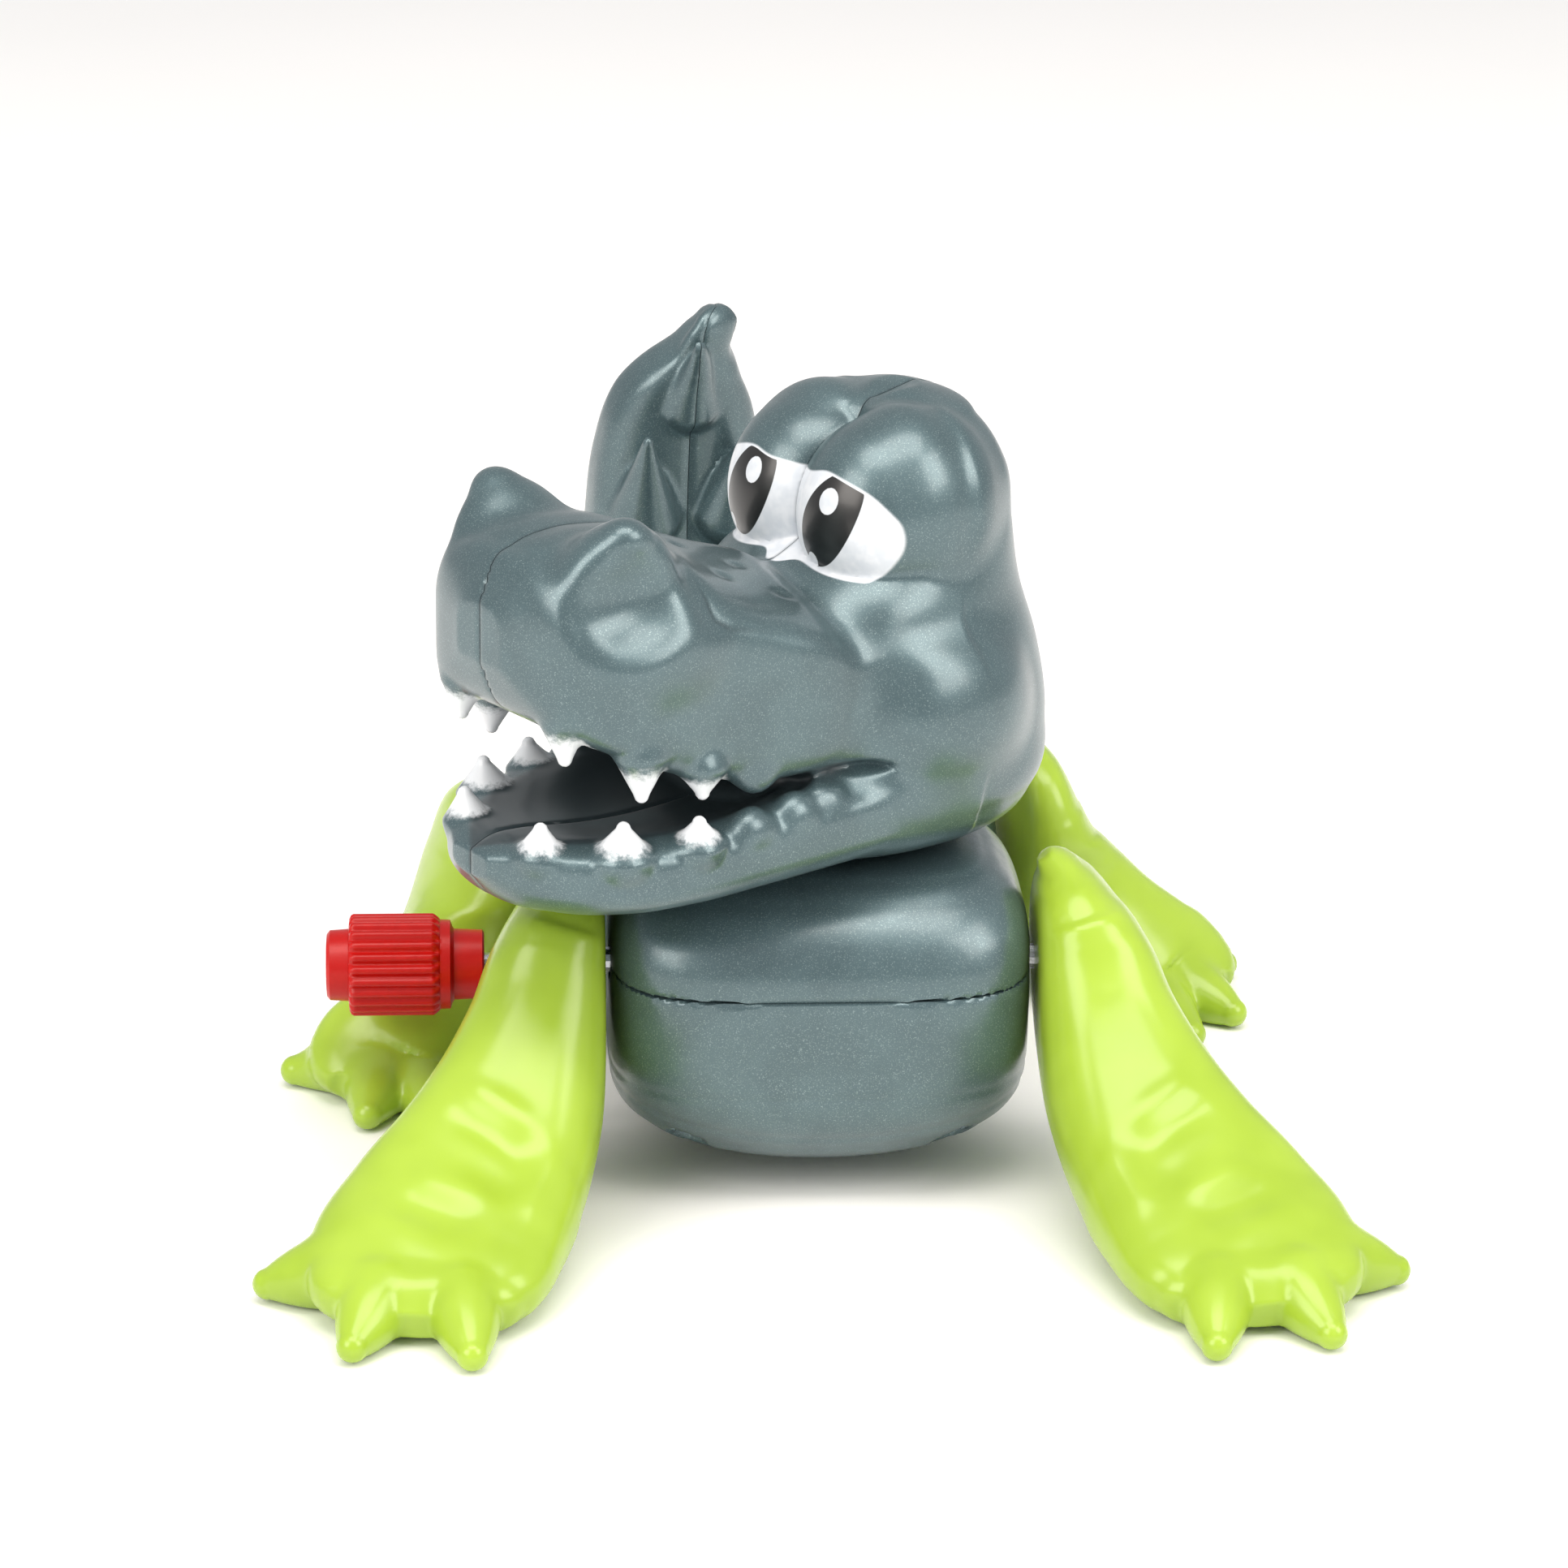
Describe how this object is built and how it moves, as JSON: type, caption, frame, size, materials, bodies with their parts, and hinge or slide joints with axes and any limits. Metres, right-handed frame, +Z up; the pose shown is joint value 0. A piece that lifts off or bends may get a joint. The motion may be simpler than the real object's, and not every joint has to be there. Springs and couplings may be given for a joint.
{
  "type": "wind-up crawling crocodile toy",
  "caption": "Moulded wind-up crocodile with rocking front legs, a turning open-mouthed head, a hinged rear body with upright spiked tail, and a side winding knob.",
  "frame": {"origin": "middle of the base of the toy's box, on the surface that it stands on", "axes": "+Z up; the front body faces -Y; +X is the crocodile's left; the winding knob stands out along -X"},
  "size_m": [0.0874, 0.0986, 0.0622],
  "materials": {
    "pearl_grey_plastic": "pearlescent grey-teal moulded ABS, satin gloss",
    "lime_plastic": "lime-green moulded plastic, glossy",
    "red_plastic": "red moulded plastic, satin",
    "white_nylon": "natural nylon",
    "bright_steel": "drawn bright steel",
    "brass": "stamped brass",
    "blued_spring_steel": "blued spring steel"
  },
  "bodies": {
    "front_body": {"body_upper_shell": "pearl_grey_plastic", "body_lower_shell": "pearl_grey_plastic", "belly_screw_1": "bright_steel", "belly_screw_2": "bright_steel", "belly_screw_3": "bright_steel", "belly_screw_4": "bright_steel", "frame_plate_left": "bright_steel", "frame_plate_right": "bright_steel", "frame_pillar_1": "bright_steel", "frame_pillar_2": "bright_steel", "frame_pillar_3": "bright_steel", "mainspring": "blued_spring_steel", "neck_spool": "white_nylon", "neck_washer": "bright_steel", "neck_screw": "bright_steel"},
    "winding": {"winding_stem": "bright_steel", "winding_knob": "red_plastic", "ratchet_wheel": "brass"},
    "great_wheel": {"great_wheel": "white_nylon", "ratchet_click": "bright_steel"},
    "output": {"output_arbor": "bright_steel", "output_gear": "white_nylon", "crank_disc": "white_nylon"},
    "escape": {"escape_arbor": "bright_steel", "escape_wheel": "white_nylon"},
    "pallet": {"pallet_arbor": "bright_steel", "escape_pallet": "bright_steel"},
    "front_legs": {"leg_shaft": "bright_steel", "rocker_fork": "white_nylon", "front_leg_left": "lime_plastic", "front_leg_right": "lime_plastic"},
    "head": {"head_left_half": "pearl_grey_plastic", "head_right_half": "pearl_grey_plastic"},
    "rear": {"rear_left_half": "pearl_grey_plastic", "rear_right_half": "pearl_grey_plastic", "rear_leg_left": "lime_plastic", "rear_leg_right": "lime_plastic", "waist_pin": "bright_steel"}
  },
  "joints": [
    {"name": "knob_wind", "type": "hinge", "parent": "front_body", "child": "winding", "pos_m": [0, -0.00288, 0.0137], "axis": [1, 0, 0], "continuous": true},
    {"name": "great_wheel_spin", "type": "hinge", "parent": "front_body", "child": "great_wheel", "pos_m": [0, -0.00288, 0.0137], "axis": [1, 0, 0], "continuous": true},
    {"name": "output_spin", "type": "hinge", "parent": "front_body", "child": "output", "pos_m": [0, -0.01076, 0.01231], "axis": [1, 0, 0], "continuous": true},
    {"name": "escape_spin", "type": "hinge", "parent": "front_body", "child": "escape", "pos_m": [0, -0.01603, 0.0104], "axis": [1, 0, 0], "continuous": true},
    {"name": "pallet_rock", "type": "hinge", "parent": "front_body", "child": "pallet", "pos_m": [0, -0.01235, 0.00672], "axis": [1, 0, 0], "range_deg": [-5, 5]},
    {"name": "front_legs_rock", "type": "hinge", "parent": "front_body", "child": "front_legs", "pos_m": [0, -0.01289, 0.018], "axis": [1, 0, 0], "range_deg": [-18, 18]},
    {"name": "head_turn", "type": "hinge", "parent": "front_body", "child": "head", "pos_m": [0, -0.00739, 0.03], "axis": [0, 0, 1], "range_deg": [-35, 145]},
    {"name": "rear_swing", "type": "hinge", "parent": "front_body", "child": "rear", "pos_m": [0, 0.00812, 0.0098], "axis": [0, 0, 1], "range_deg": [-35, 5]}
  ],
  "couplings": [
    {"joint": "output_spin", "follows": "great_wheel_spin", "ratio": -3},
    {"joint": "escape_spin", "follows": "great_wheel_spin", "ratio": 7.5}
  ]
}
